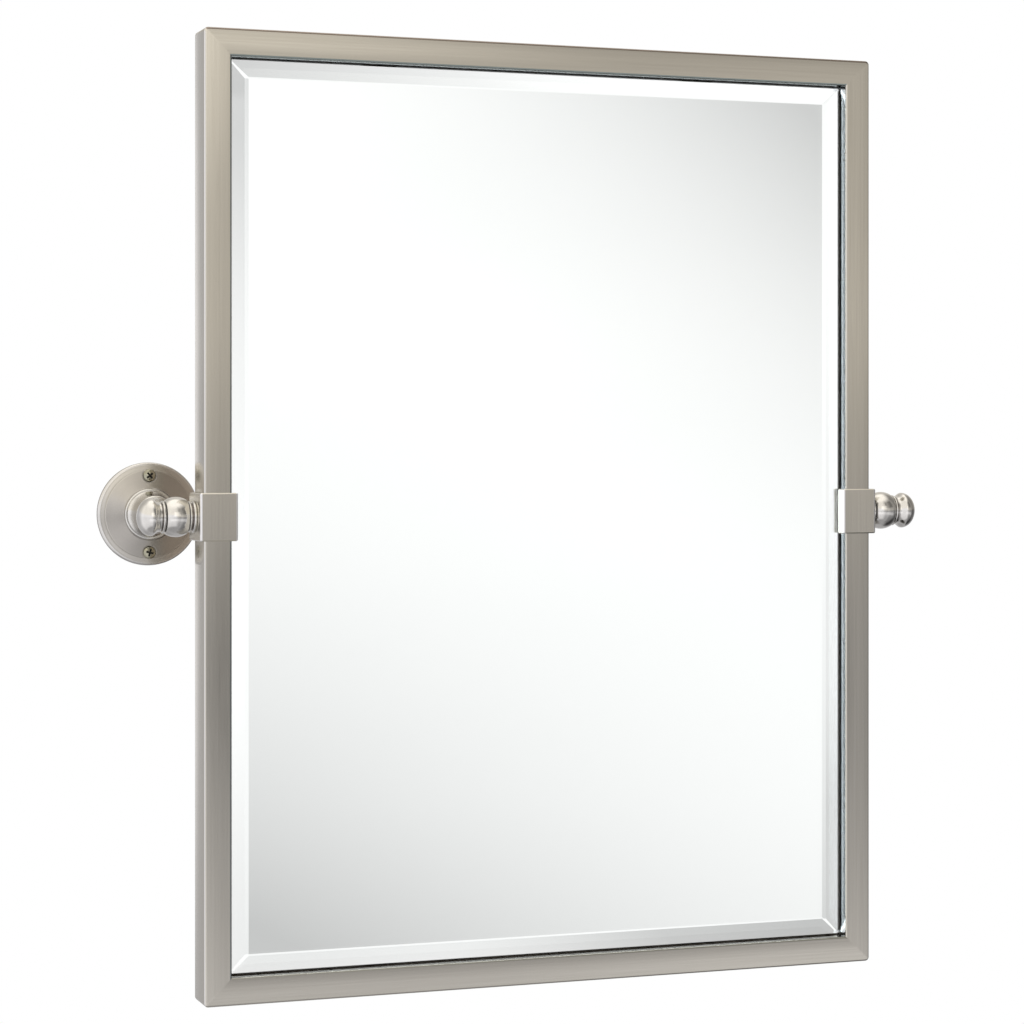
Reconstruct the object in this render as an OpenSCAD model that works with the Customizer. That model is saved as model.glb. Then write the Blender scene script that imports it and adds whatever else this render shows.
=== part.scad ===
// Pivot wall mirror: a bevelled glass in a rectangular tube frame, hung at mid height between two
// turned wall brackets, so that it tilts about one horizontal line.
//
// Frame of reference, in millimetres: X runs to the viewer's right, Y runs into the wall and Z up.
// The origin lies on the wall, midway between the two flanges, level with the tilt axis.

/* [Frame] */
// Width over the stiles
frame_w = 457; // [300:1:800]
// Height over the rails
frame_h = 610; // [400:1:1000]
// Width of the tube's face, seen from the front
tube_face = 17.5; // [15:0.5:30]
// Depth of the tube, from front to back
tube_depth = 28; // [26:0.5:45]
// Wall of the tube
tube_wall = 1.5; // [1:0.1:2.5]
// Radius along the tube's long outer edges
tube_edge_r = 1.3; // [0.4:0.1:2.5]
// Radius of the frame's four outer corners, seen from the front
frame_corner_r = 2.7; // [0.5:0.1:6]

/* [Mirror glass] */
// Thickness of the glass
glass_t = 5; // [4:0.5:6]
// Width of the bevel round the glass
bevel_w = 11; // [6:0.1:40]
// Thickness left at the edge of the glass
glass_edge_t = 2; // [1:0.1:3]
// Distance from the front of the frame back to the glass
glass_recess = 6.2; // [3:0.1:9]
// Gap between the glass and the tubes
glass_gap = 1; // [0.5:0.1:3]
// Thickness of the silvering and its paint
coat_t = 0.3; // [0.2:0.05:0.5]

/* [Backing] */
// Thickness of the backing board
board_t = 6; // [4:0.5:9]
// Gap between the board and the tubes
board_gap = 0.5; // [0.3:0.1:4]
// Thickness of the mirror tape
tape_t = 1; // [0.5:0.1:2]
// Width of one strip of tape
tape_w = 25; // [10:1:40]
// Number of strips
tape_count = 4; // [2:1:6]
// Distance from the edges of the board to the tape
tape_margin = 42; // [10:1:80]
// Spacing of the two tabs on each stile
tab_spacing_v = 360; // [120:5:800]
// Spacing of the two tabs on each rail
tab_spacing_h = 220; // [80:5:600]
// Length of a tab along the tube
tab_len = 22; // [12:1:40]
// Reach of a tab over the board
tab_reach = 17; // [12:1:40]
// Thickness of a tab
tab_t = 1.5; // [1:0.1:2]
// Radius inside a tab's bend
tab_bend_r = 0.6; // [0.3:0.1:1.5]
// Radius of a tab's free corners
tab_corner_r = 3; // [1:0.5:4]

/* [Clips] */
// Height of the square clip along the stile
clip_h = 30; // [20:0.5:60]
// Plate thickness of the clip
clip_t = 3.2; // [1.5:0.1:5]
// Reach of the clip's inner lip behind the front of the frame
clip_lip = 5; // [1:0.1:5.5]
// Gap between clip and stile
clip_fit = 0.1; // [0.05:0.05:0.3]
// Outer bend radius of the clip
clip_bend_r = 1.4; // [0.4:0.1:3]
// Chamfer on the ends of the clip
clip_chamfer = 0.6; // [0.2:0.1:1.5]

/* [Tilt axis] */
// Distance from the wall to the tilt axis
wall_to_axis = 84; // [70:1:140]
// Radius of the threaded stud that is the hinge pin
stud_r = 3; // [2:0.25:4]
// Radial clearance of the stud in the ball
pivot_clearance = 0.08; // [0.02:0.01:0.1]
// Play between the ball and each washer
run_gap = 0.1; // [0.05:0.05:0.3]
// Thickness of a friction washer
washer_t = 0.6; // [0.5:0.1:1.5]
// Radius of a friction washer
washer_r = 9.4; // [7:0.1:10]
// Thickness of the weld nut inside the stile
nut_t = 6; // [4:0.5:8]
// Width of the weld nut across its flats
nut_flats = 13; // [10:0.5:16]

/* [Ball, collar and finial] */
// Radius of the ball
ball_r = 12.6; // [11:0.1:16]
// Length of the ball between its flat ends
ball_len = 14; // [12:0.5:20]
// Length of the collar between clip and ball
collar_len = 4.2; // [3.2:0.1:12]
// Radius of the collar's bead
collar_r = 10; // [8.5:0.1:13]
// Radius of the groove round the collar
collar_groove_r = 8.5; // [7:0.1:8.5]
// Length of the finial
finial_len = 16.6; // [13:0.1:30]
// Largest radius of the finial
finial_r = 11.9; // [10.5:0.1:16]
// Radius of the finial's narrow neck
finial_neck_r = 9.3; // [7.5:0.1:10]
// Radius of the groove beside the bead at the finial's base
finial_groove_r = 8.6; // [7:0.1:9]
// Distance from the finial's base to its widest place
finial_rim_at = 7.8; // [5:0.1:10]

/* [Post] */
// Radius of the post's foot
foot_r = 16.5; // [14:0.5:20]
// Thickness of the foot's rounded edge
foot_t = 1.6; // [1:0.1:3]
// Height of the bell above the foot
bell_h = 14; // [8:0.5:25]
// Radius at the bell's waist
waist_r = 10.4; // [8.5:0.1:12]
// Radius of the bead above the bell
post_bead_r = 12.2; // [10:0.1:14]
// Radius of the stem where it leaves the bead
stem_foot_r = 8.8; // [7:0.1:9.5]
// Radius of the stem where it meets the ball
stem_top_r = 6.9; // [5.5:0.1:7]
// How far the stem is drawn in between its ends
stem_waist = 0.7; // [0:0.1:1.5]
// Radius of the tenon that enters the ball
tenon_r = 4; // [3:0.25:5]

/* [Wall flange] */
// Radius of the flange
flange_r = 33.5; // [30:0.5:45]
// Radius of the rim's rounded edge
rim_r = 1.8; // [0.5:0.1:2.8]
// Width of the flat rim, with its rounded edge
rim_w = 4.7; // [3.2:0.1:6]
// Height of the flat rim
rim_h = 3.2; // [3:0.1:4]
// Height of the step from the rim up to the sloping face
rim_step = 0.6; // [0.2:0.1:1.2]
// Height of the seat for the post
seat_h = 6.4; // [5.5:0.1:9]
// Width of the ring that touches the wall
rest_w = 5; // [3:0.5:8]
// Depth of the relief in the back of the flange
relief = 2; // [0.5:0.1:2.5]

/* [Screws] */
// Distance between a flange's two wall screws
screw_spacing = 50; // [44:0.5:60]
// Length of a wall screw under its head
screw_len = 32; // [20:1:70]
// Radius of a wall screw's thread
screw_thread_r = 1.9; // [1.5:0.05:2.5]
// Radius of the plain shank under the head
screw_shank_r = 2.15; // [1.7:0.05:2.8]
// Radius of the pan head
screw_head_r = 4.15; // [3:0.05:4.6]
// Height of the pan head
screw_head_h = 2.7; // [1.5:0.1:3.5]
// Radius of a flange's screw hole
screw_hole_r = 2.5; // [2:0.05:3]
// Radius of the small screws that hold the tabs
small_screw_r = 1.6; // [1:0.05:2]

/* [Hidden] */
$fn = 64;

// Clearances that are the same everywhere
thread_gap = 0.05;
bolt_gap = 0.2;
// Cutting bodies run this far past what they cut
over = 1;

// Depths, along Y
front_y = -wall_to_axis - tube_depth / 2;
back_y = front_y + tube_depth;
glass_y = front_y + glass_recess;
coat_y = glass_y + glass_t;
tape_y = coat_y + coat_t;
board_y = tape_y + tape_t;
tab_y = board_y + board_t;

// The opening inside the tubes, and what fills it
open_w = frame_w - 2 * tube_face;
open_h = frame_h - 2 * tube_face;
glass_w = open_w - 2 * glass_gap;
glass_h = open_h - 2 * glass_gap;
board_w = open_w - 2 * board_gap;
board_h = open_h - 2 * board_gap;

// Places along the tilt axis, outwards from the middle of the mirror
stile_x = frame_w / 2;
cheek_x = stile_x + clip_fit + clip_t;
inner_washer_x = cheek_x + collar_len;
ball_x = inner_washer_x + washer_t + run_gap + ball_len / 2;
outer_washer_x = ball_x + ball_len / 2 + run_gap;
finial_x = outer_washer_x + washer_t;
nut_x = stile_x - tube_wall - nut_t;

// The stud shows two threads behind the nut and fills all but the end of the finial's blind hole
stud_tail = 1.5;
stud_chamfer = 0.5;
finial_bore = 10.2;
bore_room = 0.5;
stud_end_x = finial_x + finial_bore - bore_room;

// The post screw: a countersunk screw sunk in the back of the flange
post_screw_r = 3;
post_screw_head_r = 6;
post_screw_head_h = 3;
post_screw_sink = 0.4;
post_screw_len = 20;
hub_r = 9.5;

// The wall screws sit on spot faces, level with the low edge of the flange's sloping face
face_low = rim_h + rim_step;
spot_room = 0.9;
spot_r = screw_head_r + spot_room;
spot_h = face_low;
screw_point = 4;
screw_tip_r = 0.2;

// Straight edge of a pan head, as a share of its height
head_edge = 0.4;

// Small screws: their heads, how far they pass the tube's wall, and the board left under their points
small_head_r = 2.8;
small_head_h = 1.8;
small_screw_over = 4;
board_skin = 1;

// The tabs' legs end this far inside the back of the tubes
tab_gap = 0.3;

NICKEL = [0.67, 0.64, 0.60];
POLISHED = [0.80, 0.78, 0.75];
ZINC = [0.72, 0.73, 0.75];
NYLON = [0.10, 0.10, 0.11];
CLEAR = [0.78, 0.88, 0.86, 0.45];
SILVERING = [0.86, 0.88, 0.90];
TAPE = [0.25, 0.25, 0.26];
BOARD = [0.42, 0.31, 0.22];

// ---- outlines -------------------------------------------------------------------------------

// Points of an arc about [x, y], from angle a0 to a1
function arc(x, y, r, a0, a1, n = 8) =
    [for (i = [0 : n]) let (a = a0 + (a1 - a0) * i / n) [x + r * cos(a), y + r * sin(a)]];

// Points of a quarter of an ellipse, from its widest place out to its tip
function dome(y, rx, ry, n = 12) =
    [for (i = [0 : n]) let (a = 90 * i / n) [rx * cos(a), y + ry * sin(a)]];

// Points between two radii that leave and arrive parallel to the axis
function flare(r0, y0, r1, y1, n = 8) =
    [for (i = [1 : n]) let (u = i / n) [r0 + (r1 - r0) * u * u * (3 - 2 * u), y0 + (y1 - y0) * u]];

// Points of a straight run that is drawn in by d at its middle
function drawn_in(r0, y0, r1, y1, d, n = 8) =
    [for (i = [0 : n]) let (u = i / n) [r0 + (r1 - r0) * u - 4 * d * u * (1 - u), y0 + (y1 - y0) * u]];

// Points of a bell: it starts wide, curves in and ends parallel to the axis
function bell(r0, y0, r1, y1, n = 12) =
    let (
        reach = r0 - r1,
        rise = y1 - y0,
        big = (reach * reach + rise * rise) / (2 * reach)
    )
    arc(r1 + big, y1, big, 180 + asin(rise / big), 180, n);

// Corner points of a rectangle with rounded corners, from [x0, y0] to [x1, y1]
function rounded(x0, y0, x1, y1, r, n = 5) = concat(
    arc(x1 - r, y0 + r, r, -90, 0, n),
    arc(x1 - r, y1 - r, r, 0, 90, n),
    arc(x0 + r, y1 - r, r, 90, 180, n),
    arc(x0 + r, y0 + r, r, 180, 270, n)
);

// ---- placing --------------------------------------------------------------------------------

// Draws its children on the right of the mirror, or mirrored on the left
module on_side(side) {
    mirror([side < 0 ? 1 : 0, 0, 0]) children();
}

// Turns a shape's Z into X, and puts its foot at x on the tilt axis
module along_axis(x) {
    translate([x, -wall_to_axis, 0]) rotate([0, 90, 0]) children();
}

// Turns a shape's Z into the way out of the wall, with its foot on the wall behind the ball
module from_wall() {
    translate([ball_x, 0, 0]) rotate([90, 0, 0]) children();
}

// Extrudes an outline drawn in X and Z from y0 back to y1
module slab(y0, y1) {
    translate([0, y1, 0]) rotate([90, 0, 0]) linear_extrude(y1 - y0) children();
}

// ---- tube frame -----------------------------------------------------------------------------

// Section of the tube: u runs across its face from the outside in, v along its depth
module tube_section() {
    difference() {
        polygon(rounded(0, 0, tube_face, tube_depth, tube_edge_r));
        translate([tube_wall, tube_wall])
            square([tube_face - 2 * tube_wall, tube_depth - 2 * tube_wall]);
    }
}

// Right stile: the tube, cut at 45 degrees at both ends
module stile() {
    w = frame_w / 2;
    h = frame_h / 2;
    intersection() {
        translate([w, front_y, -h])
            linear_extrude(frame_h) mirror([1, 0]) tube_section();
        slab(front_y - over, back_y + over)
            polygon([[w, -h], [w, h], [w - tube_face, h - tube_face], [w - tube_face, tube_face - h]]);
        frame_outline();
    }
}

// Top rail: the same tube lying down
module rail() {
    w = frame_w / 2;
    h = frame_h / 2;
    intersection() {
        translate([-w, front_y, h])
            rotate([0, 90, 0]) linear_extrude(frame_w) tube_section();
        slab(front_y - over, back_y + over)
            polygon([[-w, h], [w, h], [w - tube_face, h - tube_face], [tube_face - w, h - tube_face]]);
        frame_outline();
    }
}

module frame_outline() {
    slab(front_y - over, back_y + over)
        polygon(rounded(-frame_w / 2, -frame_h / 2, frame_w / 2, frame_h / 2, frame_corner_r));
}

module side_stile(side) {
    color(NICKEL) difference() {
        on_side(side) stile();
        on_side(side) along_axis(stile_x - tube_wall - over)
            cylinder(r = stud_r + bolt_gap, h = tube_wall + 2 * over);
        tab_holes();
    }
}

module end_rail(side) {
    color(NICKEL) difference() {
        mirror([0, 0, side < 0 ? 1 : 0]) rail();
        tab_holes();
    }
}

// ---- glass and backing ----------------------------------------------------------------------

module mirror_glass() {
    drop = glass_t - glass_edge_t;
    color(CLEAR) difference() {
        translate([-glass_w / 2, glass_y, -glass_h / 2]) cube([glass_w, glass_t, glass_h]);
        for (side = [-1, 1]) {
            mirror([side < 0 ? 1 : 0, 0, 0])
                translate([0, 0, -glass_h / 2 - over])
                linear_extrude(glass_h + 2 * over) bevel_waste(glass_w / 2, drop);
            mirror([0, 0, side < 0 ? 1 : 0])
                translate([glass_w / 2 + over, 0, 0]) rotate([0, -90, 0])
                linear_extrude(glass_w + 2 * over) bevel_waste(glass_h / 2, drop);
        }
    }
}

// What is ground off one edge of the glass: a wedge that runs on past the edge
module bevel_waste(edge, drop) {
    slope = drop / bevel_w;
    polygon([
        [edge - bevel_w, glass_y],
        [edge + over, glass_y + drop + over * slope],
        [edge + over, glass_y - over],
        [edge - bevel_w, glass_y - over]
    ]);
}

module silver_coat() {
    color(SILVERING)
        translate([-glass_w / 2, coat_y, -glass_h / 2]) cube([glass_w, coat_t, glass_h]);
}

module mounting_tape() {
    tape_h = board_h - 2 * tape_margin;
    pitch = (board_w - 2 * tape_margin - tape_w) / (tape_count - 1);
    color(TAPE) for (i = [0 : tape_count - 1])
        translate([pitch * (i - (tape_count - 1) / 2) - tape_w / 2, tape_y, -tape_h / 2])
            cube([tape_w, tape_t, tape_h]);
}

module backing_board() {
    color(BOARD) difference() {
        translate([-board_w / 2, board_y, -board_h / 2]) cube([board_w, board_t, board_h]);
        at_tabs() board_screw_hole();
    }
}

// Places its children at every tab: x along the tube, y into the wall, z towards the board's middle,
// with the origin on the tube's inner wall, level with the back of the board
module at_tabs() {
    for (side = [-1, 1], end = [-1, 1]) {
        translate([side * open_w / 2, tab_y, end * tab_spacing_v / 2])
            rotate([0, -90 * side, 0]) children();
        translate([end * tab_spacing_h / 2, tab_y, side * open_h / 2])
            rotate([0, side < 0 ? 0 : 180, 0]) children();
    }
}

// A tab's foot lies on the board and its other leg stands against the tube; each has its screw midway
tab_leg = back_y - tab_y - tab_gap;
tab_screw_y = (tab_t + tab_leg) / 2;
board_screw_z = (tab_t + tab_reach) / 2;
board_screw_len = board_t - board_skin;

// Section of a tab: a strip bent once, with its outer corner towards the tube and the board
module tab_section() {
    bend_r = tab_bend_r + tab_t;
    polygon(concat(
        arc(bend_r, bend_r, bend_r, 180, 270),
        [[tab_leg, 0], [tab_leg, tab_t]],
        arc(bend_r, bend_r, tab_bend_r, 270, 180),
        [[tab_t, tab_reach], [0, tab_reach]]
    ));
}

module board_tabs() {
    color(ZINC) at_tabs() difference() {
        intersection() {
            translate([-tab_len / 2, 0, 0])
                rotate([90, 0, 90]) linear_extrude(tab_len) tab_section();
            // free corners of the foot, seen from behind
            slab(-over, tab_leg + over)
                polygon(rounded(-tab_len / 2, -tab_reach, tab_len / 2, tab_reach, tab_corner_r));
            // free corners of the leg, seen from inside the frame
            translate([0, 0, -over]) linear_extrude(tab_reach + 2 * over)
                polygon(rounded(-tab_len / 2, -tab_leg, tab_len / 2, tab_leg, tab_corner_r));
        }
        translate([0, tab_screw_y, -over])
            cylinder(r = small_screw_r + bolt_gap, h = tab_t + 2 * over);
        translate([0, -over, board_screw_z]) rotate([-90, 0, 0])
            cylinder(r = small_screw_r + bolt_gap, h = tab_t + 2 * over);
    }
}

// Holes for the self-tapping screws, through the tube's inner wall
module tab_holes() {
    at_tabs() translate([0, tab_screw_y, -tube_wall - over])
        cylinder(r = small_screw_r + thread_gap, h = tube_wall + 2 * over);
}

module board_screw_hole() {
    translate([0, -board_screw_len - thread_gap, board_screw_z]) rotate([-90, 0, 0])
        cylinder(r = small_screw_r + thread_gap, h = board_screw_len + over);
}

// A small pan head screw: head above z = 0, shank below
module small_screw(reach) {
    rotate_extrude() polygon(concat(
        [[0, -reach], [small_screw_r, -reach], [small_screw_r, 0], [small_head_r, 0]],
        dome(small_head_h * head_edge, small_head_r, small_head_h * (1 - head_edge), 6)
    ));
}

module tab_screws() {
    color(ZINC) at_tabs() translate([0, tab_screw_y, tab_t])
        small_screw(tab_t + tube_wall + small_screw_over);
}

module board_screws() {
    color(ZINC) at_tabs() translate([0, tab_t, board_screw_z]) rotate([-90, 0, 0])
        small_screw(tab_t + board_screw_len);
}

// ---- clips ----------------------------------------------------------------------------------

// The clip seen from above: front plate, outer cheek as deep as the stile, short inner lip
module clip_plan() {
    gap_x0 = stile_x - tube_face - clip_fit;
    gap_x1 = stile_x + clip_fit;
    gap_y = front_y - clip_fit;
    difference() {
        polygon(rounded(gap_x0 - clip_t, gap_y - clip_t, cheek_x, back_y + over, clip_bend_r));
        translate([gap_x0, gap_y]) square([gap_x1 - gap_x0, tube_depth + 3 * over]);
        translate([gap_x0 - clip_t - over, front_y + clip_lip])
            square([clip_t + 2 * over, tube_depth]);
        translate([gap_x1 - over, back_y]) square([clip_t + 3 * over, 2 * over]);
    }
}

module clip(side) {
    x0 = stile_x - tube_face - clip_fit - clip_t;
    y0 = front_y - clip_fit - clip_t;
    h = clip_h / 2;
    c = clip_chamfer;
    color(NICKEL) on_side(side) difference() {
        intersection() {
            translate([0, 0, -h]) linear_extrude(clip_h) clip_plan();
            // chamfered ends, seen from the front
            slab(y0 - over, back_y + over) polygon([
                [x0 + c, -h], [cheek_x - c, -h], [cheek_x, c - h], [cheek_x, h - c],
                [cheek_x - c, h], [x0 + c, h], [x0, h - c], [x0, c - h]
            ]);
            // chamfered ends, seen from the side
            translate([x0 - over, 0, 0]) rotate([90, 0, 90])
                linear_extrude(cheek_x - x0 + 2 * over) polygon([
                    [y0 + c, -h], [back_y, -h], [back_y, h], [y0 + c, h], [y0, h - c], [y0, c - h]
                ]);
        }
        along_axis(cheek_x - clip_t - over)
            cylinder(r = stud_r + bolt_gap, h = clip_t + 2 * over);
    }
}

// ---- what turns on the tilt axis with the mirror --------------------------------------------

module pivot_nut(side) {
    color(ZINC) on_side(side) along_axis(nut_x) difference() {
        cylinder(d = nut_flats / cos(30), h = nut_t, $fn = 6);
        translate([0, 0, -over]) cylinder(r = stud_r + thread_gap, h = nut_t + 2 * over);
    }
}

// A length of threaded rod with chamfered ends
module pivot_stud(side) {
    length = stud_end_x - nut_x + stud_tail;
    color(ZINC) on_side(side) along_axis(nut_x - stud_tail) rotate_extrude() polygon([
        [0, 0], [stud_r - stud_chamfer, 0], [stud_r, stud_chamfer],
        [stud_r, length - stud_chamfer], [stud_r - stud_chamfer, length], [0, length]
    ]);
}

// A bead against the clip, a groove, and a smaller bead that bears on the washer
module collar(side) {
    bead = 0.95;
    ring = 0.6;
    lip = 0.3;
    ring_r = washer_r + lip;
    color(POLISHED) on_side(side) along_axis(cheek_x) difference() {
        rotate_extrude() polygon(concat(
            [[0, 0], [collar_r - bead, 0]],
            arc(collar_r - bead, bead, bead, -90, 90),
            [[collar_groove_r, 2 * bead], [collar_groove_r, collar_len - 2 * ring]],
            arc(ring_r - ring, collar_len - ring, ring, -90, 90),
            [[0, collar_len]]
        ));
        translate([0, 0, -over])
            cylinder(r = stud_r + bolt_gap, h = collar_len + 2 * over);
    }
}

module washers(side) {
    color(NYLON) on_side(side) for (x = [inner_washer_x, outer_washer_x])
        along_axis(x) difference() {
            cylinder(r = washer_r, h = washer_t);
            translate([0, 0, -over]) cylinder(r = stud_r + bolt_gap, h = washer_t + 2 * over);
        }
}

// Base bead, groove, drawn-in neck, flared rim and an egg-shaped end
module finial(side) {
    bead = 0.7;
    lip = 0.3;
    groove_end = 2.3;
    neck_at = 3;
    base_r = finial_neck_r + lip;
    color(POLISHED) on_side(side) along_axis(finial_x) difference() {
        rotate_extrude() polygon(concat(
            [[0, 0]],
            arc(base_r, bead, bead, -90, 90),
            [[finial_groove_r, 2 * bead], [finial_groove_r, groove_end]],
            [[finial_neck_r, groove_end], [finial_neck_r, neck_at]],
            flare(finial_neck_r, neck_at, finial_r, finial_rim_at),
            dome(finial_rim_at, finial_r, finial_len - finial_rim_at)
        ));
        translate([0, 0, -over]) cylinder(r = stud_r + thread_gap, h = finial_bore + over);
    }
}

// ---- what stays on the wall -----------------------------------------------------------------

// The ball with flat ends, without its holes
module ball_blank() {
    along_axis(ball_x) intersection() {
        sphere(r = ball_r);
        translate([0, 0, -ball_len / 2]) cylinder(r = ball_r + over, h = ball_len);
    }
}

// How far the tenon reaches out from the wall: it leaves some metal before the pivot bore
tenon_land = 3;
tenon_end = wall_to_axis - stud_r - tenon_land;

module knuckle(side) {
    color(POLISHED) on_side(side) difference() {
        ball_blank();
        along_axis(ball_x - ball_len)
            cylinder(r = stud_r + pivot_clearance, h = 2 * ball_len);
        from_wall() cylinder(r = tenon_r + thread_gap, h = tenon_end + thread_gap);
    }
}

// A rounded foot, a bell, a bead and a drawn-in stem that is coped to the ball
module post(side) {
    foot_top = seat_h + foot_t;
    bell_top = foot_top + bell_h;
    bead = 1.3;
    bead_top = bell_top + 2 * bead;
    stem_top = wall_to_axis - ball_r / 2;
    color(POLISHED) on_side(side) difference() {
        union() {
            difference() {
                from_wall() rotate_extrude() polygon(concat(
                    [[0, seat_h]],
                    arc(foot_r - foot_t / 2, seat_h + foot_t / 2, foot_t / 2, -90, 90),
                    bell(foot_r - foot_t, foot_top, waist_r, bell_top),
                    arc(post_bead_r - bead, bell_top + bead, bead, -90, 90),
                    drawn_in(stem_foot_r, bead_top, stem_top_r, stem_top, stem_waist),
                    [[0, stem_top]]
                ));
                ball_blank();
            }
            from_wall() translate([0, 0, bead_top]) cylinder(r = tenon_r, h = tenon_end - bead_top);
        }
        from_wall() translate([0, 0, -over])
            cylinder(r = post_screw_r + thread_gap, h = post_screw_len + 2 * over);
    }
}

// A cast flange: flat rim with a rounded edge, step up to a sloping face, seat for the post, spot faces
// and a relieved back
module flange(side) {
    face_r = flange_r - rim_w;
    edge_r = rim_step;
    seat_room = 0.7;
    seat_chamfer = 0.4;
    seat_r = foot_r + seat_room;
    color(NICKEL) on_side(side) from_wall() difference() {
        rotate_extrude() polygon(concat(
            [[0, 0], [flange_r, 0]],
            arc(flange_r - rim_r, rim_h - rim_r, rim_r, 0, 90),
            arc(face_r - edge_r, face_low - edge_r, edge_r, 0, 90),
            [[seat_r, seat_h - seat_chamfer], [seat_r - seat_chamfer, seat_h], [0, seat_h]]
        ));
        // relief between the resting ring and the hub
        translate([0, 0, -over]) difference() {
            cylinder(r = flange_r - rest_w, h = relief + over);
            translate([0, 0, -over]) cylinder(r = hub_r, h = relief + 3 * over);
        }
        // countersunk hole for the post screw
        translate([0, 0, -over]) cylinder(r = post_screw_r + bolt_gap, h = seat_h + 2 * over);
        translate([0, 0, -over]) cylinder(r = post_screw_head_r, h = post_screw_sink + over);
        translate([0, 0, post_screw_sink])
            cylinder(r1 = post_screw_head_r, r2 = post_screw_r, h = post_screw_head_h);
        // holes and spot faces for the wall screws
        for (end = [-1, 1]) translate([0, end * screw_spacing / 2, 0]) {
            translate([0, 0, -over]) cylinder(r = screw_hole_r, h = seat_h + 2 * over);
            translate([0, 0, spot_h]) cylinder(r = spot_r, h = seat_h);
        }
    }
}

module post_screw(side) {
    color(ZINC) on_side(side) from_wall() {
        translate([0, 0, post_screw_sink])
            cylinder(r1 = post_screw_head_r, r2 = post_screw_r, h = post_screw_head_h);
        translate([0, 0, post_screw_sink + post_screw_head_h])
            cylinder(r = post_screw_r, h = post_screw_len - post_screw_head_h - post_screw_sink);
    }
}

// Pan head wood screws: plain shank through the flange, thread and point in the wall
module wall_screws(side) {
    tip = spot_h - screw_len;
    color(ZINC) on_side(side) from_wall() for (end = [-1, 1])
        translate([0, end * screw_spacing / 2, 0]) {
            translate([0, 0, spot_h]) rotate_extrude() polygon(concat(
                [[0, 0], [screw_head_r, 0]],
                dome(screw_head_h * head_edge, screw_head_r, screw_head_h * (1 - head_edge))
            ));
            cylinder(r = screw_shank_r, h = spot_h);
            translate([0, 0, tip + screw_point]) cylinder(r = screw_thread_r, h = -tip - screw_point);
            translate([0, 0, tip]) cylinder(r1 = screw_tip_r, r2 = screw_thread_r, h = screw_point);
        }
}

// ---- what is drawn --------------------------------------------------------------------------

end_rail(1);  // top_rail
end_rail(-1);  // bottom_rail
side_stile(-1);  // left_stile
side_stile(1);  // right_stile
mirror_glass();
silver_coat();
mounting_tape();
backing_board();
board_tabs();
tab_screws();
board_screws();
clip(-1);  // left_clip
clip(1);  // right_clip
pivot_nut(-1);  // left_pivot_nut
pivot_nut(1);  // right_pivot_nut
pivot_stud(-1);  // left_pivot_stud
pivot_stud(1);  // right_pivot_stud
collar(-1);  // left_collar
collar(1);  // right_collar
washers(-1);  // left_washers
washers(1);  // right_washers
finial(-1);  // left_finial
finial(1);  // right_finial
knuckle(-1);  // left_knuckle
knuckle(1);  // right_knuckle
post(-1);  // left_post
post(1);  // right_post
flange(-1);  // left_flange
flange(1);  // right_flange
post_screw(-1);  // left_post_screw
post_screw(1);  // right_post_screw
wall_screws(-1);  // left_wall_screws
wall_screws(1);  // right_wall_screws
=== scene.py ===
"""Pivot wall mirror: a bevelled glass in a brushed nickel tube frame, hung between two turned wall brackets.

Metres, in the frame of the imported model: X to the viewer's right, Y into the wall, Z up. The origin lies
on the wall, midway between the flanges, level with the tilt axis. Every surface is a grid of points that
numpy works out at once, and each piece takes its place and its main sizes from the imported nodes.
"""

import math

import bmesh
import bpy
import numpy as np
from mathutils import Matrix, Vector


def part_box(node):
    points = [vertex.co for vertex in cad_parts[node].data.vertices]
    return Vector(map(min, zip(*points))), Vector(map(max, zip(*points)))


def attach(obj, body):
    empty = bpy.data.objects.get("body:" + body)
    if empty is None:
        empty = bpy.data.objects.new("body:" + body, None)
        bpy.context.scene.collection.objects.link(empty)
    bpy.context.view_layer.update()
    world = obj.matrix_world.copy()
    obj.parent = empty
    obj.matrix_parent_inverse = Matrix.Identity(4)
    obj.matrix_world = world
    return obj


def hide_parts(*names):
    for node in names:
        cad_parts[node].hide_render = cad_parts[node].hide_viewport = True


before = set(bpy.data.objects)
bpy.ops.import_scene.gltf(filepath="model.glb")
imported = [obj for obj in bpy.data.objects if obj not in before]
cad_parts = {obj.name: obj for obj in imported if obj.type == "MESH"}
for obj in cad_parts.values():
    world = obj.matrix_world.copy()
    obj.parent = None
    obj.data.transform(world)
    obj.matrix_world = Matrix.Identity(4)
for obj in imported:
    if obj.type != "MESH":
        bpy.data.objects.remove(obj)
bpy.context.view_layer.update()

MM = 0.001
WELD = 0.002 * MM
SLIVER = 0.001 * MM
STEEP = 0.5
TONE_EDGE = 0.15 * MM
WALL_GAIN = 1.1

# ---- sizes ------------------------------------------------------------------------------------------


def span(node):
    """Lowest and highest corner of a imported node."""
    low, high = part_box(node)
    return np.array(low), np.array(high)


stile_low, stile_high = span("right_stile")
half_h = span("top_rail")[1][2]
glass_low, glass_high = span("mirror_glass")
clip_low, clip_high = span("right_clip")
stud_low, stud_high = span("right_pivot_stud")
collar_low, collar_high = span("right_collar")
washer_low, washer_high = span("right_washers")
ball_low, ball_high = span("right_knuckle")
finial_low, finial_high = span("right_finial")
seat_h = -span("right_post")[1][1]
tab_screw_low, tab_screw_high = span("tab_screws")
board_screw_low, board_screw_high = span("board_screws")

# Tube frame
half_w = stile_high[0]
tube_face = stile_high[0] - stile_low[0]
front_y = stile_low[1]
back_y = stile_high[1]
tube_wall = 1.5 * MM
tube_edge_r = 1.3 * MM
frame_corner_r = 2.7 * MM

# Glass
bevel_w = 11 * MM
glass_edge_t = 1.75 * MM
glass_arris = 0.25 * MM
coat_hair = 0.02 * MM

# Clips
clip_t = 3.2 * MM
clip_lip = 5 * MM
clip_bend_r = 1.4 * MM
clip_chamfer = 0.6 * MM

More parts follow.
